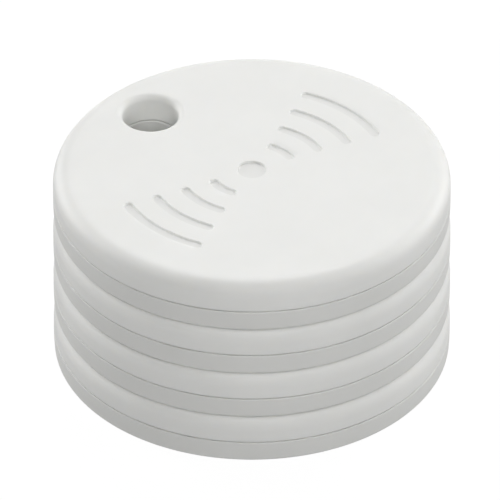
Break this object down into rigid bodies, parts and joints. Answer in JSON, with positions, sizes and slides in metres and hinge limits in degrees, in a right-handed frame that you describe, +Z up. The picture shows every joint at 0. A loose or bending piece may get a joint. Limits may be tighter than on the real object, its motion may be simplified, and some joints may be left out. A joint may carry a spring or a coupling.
{
  "type": "bluetooth tracker tag",
  "caption": "Stack of round white tracker tags, each a thin disc of two snapped covers with a keyring hole, a pressed beacon mark and a replaceable coin cell inside.",
  "frame": {"origin": "middle of the lowest tag's underside, on the axis of the round outline", "axes": "+Z up through the stack, +Y from the middle towards the keyring holes, +X to the right"},
  "size_m": [0.0368, 0.0368, 0.02],
  "materials": {
    "top_shell": "satin white moulded plastic with a very fine grain",
    "bottom_shell": "satin white moulded plastic, a shade greyer",
    "seal": "soft translucent grey silicone",
    "foam": "dark fine foam",
    "cell_steel": "nickel-plated steel can",
    "board": "green solder mask over glass fibre",
    "chip": "black moulded chip package",
    "ceramic_part": "pale ceramic",
    "small_parts": "tan ceramic with bright ends",
    "contact_metal": "thin gold-plated spring metal",
    "dome_steel": "thin stainless dome",
    "sounder_brass": "thin brass plate",
    "sounder_ceramic": "silvered off-white ceramic"
  },
  "bodies": {
    "tag1_base": {"tag1_bottom_cover": "bottom_shell", "tag1_seal_ring": "seal", "tag1_battery_pad": "foam"},
    "tag1_cell": {"tag1_battery": "cell_steel"},
    "tag1_electronics": {"tag1_circuit_board": "board", "tag1_radio_chip": "chip", "tag1_antenna": "ceramic_part", "tag1_board_parts": "small_parts", "tag1_positive_clip": "contact_metal", "tag1_negative_spring": "contact_metal", "tag1_sounder_springs": "contact_metal", "tag1_switch_dome": "dome_steel"},
    "tag1_lid": {"tag1_sounder_plate": "sounder_brass", "tag1_sounder_ceramic": "sounder_ceramic", "tag1_top_cover": "top_shell"},
    "tag2_base": {"tag2_bottom_cover": "bottom_shell", "tag2_seal_ring": "seal", "tag2_battery_pad": "foam"},
    "tag2_cell": {"tag2_battery": "cell_steel"},
    "tag2_electronics": {"tag2_circuit_board": "board", "tag2_radio_chip": "chip", "tag2_antenna": "ceramic_part", "tag2_board_parts": "small_parts", "tag2_positive_clip": "contact_metal", "tag2_negative_spring": "contact_metal", "tag2_sounder_springs": "contact_metal", "tag2_switch_dome": "dome_steel"},
    "tag2_lid": {"tag2_sounder_plate": "sounder_brass", "tag2_sounder_ceramic": "sounder_ceramic", "tag2_top_cover": "top_shell"},
    "tag3_base": {"tag3_bottom_cover": "bottom_shell", "tag3_seal_ring": "seal", "tag3_battery_pad": "foam"},
    "tag3_cell": {"tag3_battery": "cell_steel"},
    "tag3_electronics": {"tag3_circuit_board": "board", "tag3_radio_chip": "chip", "tag3_antenna": "ceramic_part", "tag3_board_parts": "small_parts", "tag3_positive_clip": "contact_metal", "tag3_negative_spring": "contact_metal", "tag3_sounder_springs": "contact_metal", "tag3_switch_dome": "dome_steel"},
    "tag3_lid": {"tag3_sounder_plate": "sounder_brass", "tag3_sounder_ceramic": "sounder_ceramic", "tag3_top_cover": "top_shell"},
    "tag4_base": {"tag4_bottom_cover": "bottom_shell", "tag4_seal_ring": "seal", "tag4_battery_pad": "foam"},
    "tag4_cell": {"tag4_battery": "cell_steel"},
    "tag4_electronics": {"tag4_circuit_board": "board", "tag4_radio_chip": "chip", "tag4_antenna": "ceramic_part", "tag4_board_parts": "small_parts", "tag4_positive_clip": "contact_metal", "tag4_negative_spring": "contact_metal", "tag4_sounder_springs": "contact_metal", "tag4_switch_dome": "dome_steel"},
    "tag4_lid": {"tag4_sounder_plate": "sounder_brass", "tag4_sounder_ceramic": "sounder_ceramic", "tag4_top_cover": "top_shell"}
  },
  "joints": [
    {"name": "tag1_open", "type": "slide", "parent": "tag1_base", "child": "tag1_electronics", "axis": [0, 0, 1], "range_m": [0, 0.012]},
    {"name": "tag1_cell_out", "type": "slide", "parent": "tag1_base", "child": "tag1_cell", "axis": [0, 0, 1], "range_m": [0, 0.0054]},
    {"name": "tag1_press", "type": "slide", "parent": "tag1_electronics", "child": "tag1_lid", "axis": [0, 0, -1], "range_m": [0, 0.00008], "stiffness_N_per_m": 4000, "springref_m": -0.0001, "deforming": ["tag1_switch_dome", "tag1_sounder_springs"]},
    {"name": "tag2_lift", "type": "slide", "parent": "tag1_lid", "child": "tag2_base", "axis": [0, 0, 1], "range_m": [0, 0.012]},
    {"name": "tag2_open", "type": "slide", "parent": "tag2_base", "child": "tag2_electronics", "axis": [0, 0, 1], "range_m": [0, 0.012]},
    {"name": "tag2_cell_out", "type": "slide", "parent": "tag2_base", "child": "tag2_cell", "axis": [0, 0, 1], "range_m": [0, 0.0054]},
    {"name": "tag2_press", "type": "slide", "parent": "tag2_electronics", "child": "tag2_lid", "axis": [0, 0, -1], "range_m": [0, 0.00008], "stiffness_N_per_m": 4000, "springref_m": -0.0001, "deforming": ["tag2_switch_dome", "tag2_sounder_springs"]},
    {"name": "tag3_lift", "type": "slide", "parent": "tag2_lid", "child": "tag3_base", "axis": [0, 0, 1], "range_m": [0, 0.012]},
    {"name": "tag3_open", "type": "slide", "parent": "tag3_base", "child": "tag3_electronics", "axis": [0, 0, 1], "range_m": [0, 0.012]},
    {"name": "tag3_cell_out", "type": "slide", "parent": "tag3_base", "child": "tag3_cell", "axis": [0, 0, 1], "range_m": [0, 0.0054]},
    {"name": "tag3_press", "type": "slide", "parent": "tag3_electronics", "child": "tag3_lid", "axis": [0, 0, -1], "range_m": [0, 0.00008], "stiffness_N_per_m": 4000, "springref_m": -0.0001, "deforming": ["tag3_switch_dome", "tag3_sounder_springs"]},
    {"name": "tag4_lift", "type": "slide", "parent": "tag3_lid", "child": "tag4_base", "axis": [0, 0, 1], "range_m": [0, 0.012]},
    {"name": "tag4_open", "type": "slide", "parent": "tag4_base", "child": "tag4_electronics", "axis": [0, 0, 1], "range_m": [0, 0.012]},
    {"name": "tag4_cell_out", "type": "slide", "parent": "tag4_base", "child": "tag4_cell", "axis": [0, 0, 1], "range_m": [0, 0.0054]},
    {"name": "tag4_press", "type": "slide", "parent": "tag4_electronics", "child": "tag4_lid", "axis": [0, 0, -1], "range_m": [0, 0.00008], "stiffness_N_per_m": 4000, "springref_m": -0.0001, "deforming": ["tag4_switch_dome", "tag4_sounder_springs"]}
  ],
  "couplings": [
    {"joint": "tag1_cell_out", "follows": "tag1_open", "ratio": 0.45},
    {"joint": "tag2_cell_out", "follows": "tag2_open", "ratio": 0.45},
    {"joint": "tag3_cell_out", "follows": "tag3_open", "ratio": 0.45},
    {"joint": "tag4_cell_out", "follows": "tag4_open", "ratio": 0.45}
  ]
}
